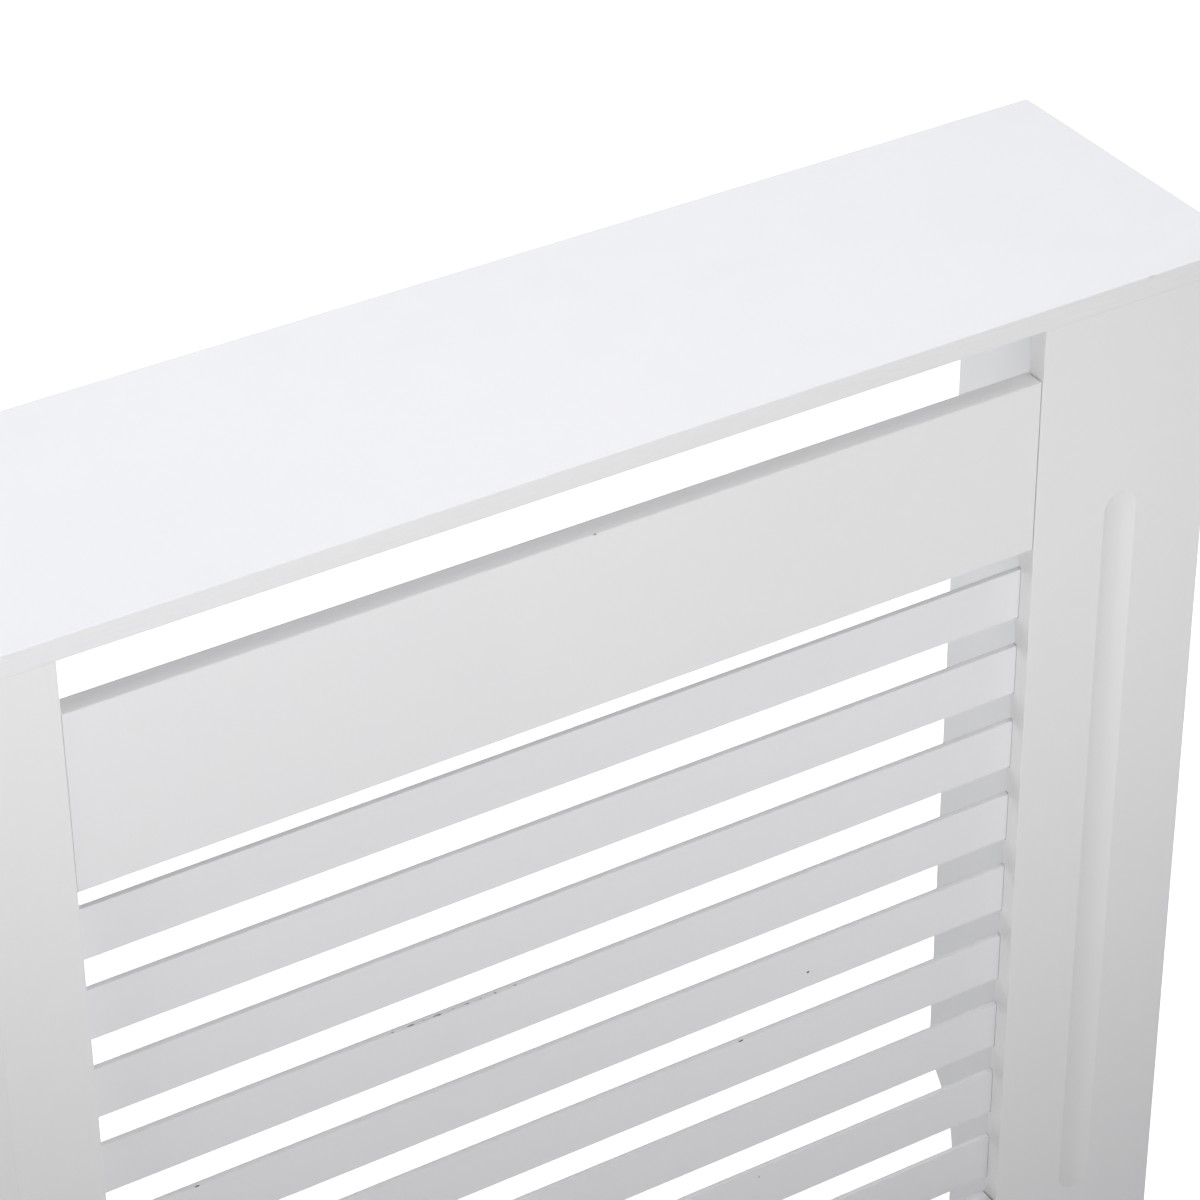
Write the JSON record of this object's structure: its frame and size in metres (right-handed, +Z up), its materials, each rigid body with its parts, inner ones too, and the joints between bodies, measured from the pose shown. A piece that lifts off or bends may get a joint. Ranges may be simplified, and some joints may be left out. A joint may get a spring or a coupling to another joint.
{
  "type": "radiator cover cabinet",
  "caption": "White painted radiator cover cabinet with a flat top, a slatted front between wide fluted stiles, an open back and side panels cut to clear a skirting board.",
  "frame": {"origin": "on the floor, under the centre of the top board", "axes": "+Z up, +X to the right as seen from the front, +Y back to the wall; the slatted front faces -Y"},
  "size_m": [0.795, 0.19, 0.815],
  "materials": {
    "painted_board": "satin white paint on fibreboard",
    "bare_fibreboard": "bare",
    "beech_dowel": "bare",
    "zinc_plated_steel": "bright zinc plate",
    "cast_zinc": "dull cast"
  },
  "bodies": {
    "root": {"bottom_rail": "painted_board", "header_panel": "painted_board", "header_splines": "bare_fibreboard", "left_side_panel": "painted_board", "left_stile": "painted_board", "left_wall_bracket": "zinc_plated_steel", "rail_splines": "bare_fibreboard", "right_side_panel": "painted_board", "right_stile": "painted_board", "right_wall_bracket": "zinc_plated_steel", "side_cam_bolts": "zinc_plated_steel", "side_cams": "cast_zinc", "slat_1": "painted_board", "slat_2": "painted_board", "slat_3": "painted_board", "slat_4": "painted_board", "slat_5": "painted_board", "slat_6": "painted_board", "slat_7": "painted_board", "slat_8": "painted_board", "slat_9": "painted_board", "top_board": "painted_board", "top_cam_bolts": "zinc_plated_steel", "top_cams": "cast_zinc", "top_dowels": "beech_dowel"}
  },
  "joints": []
}
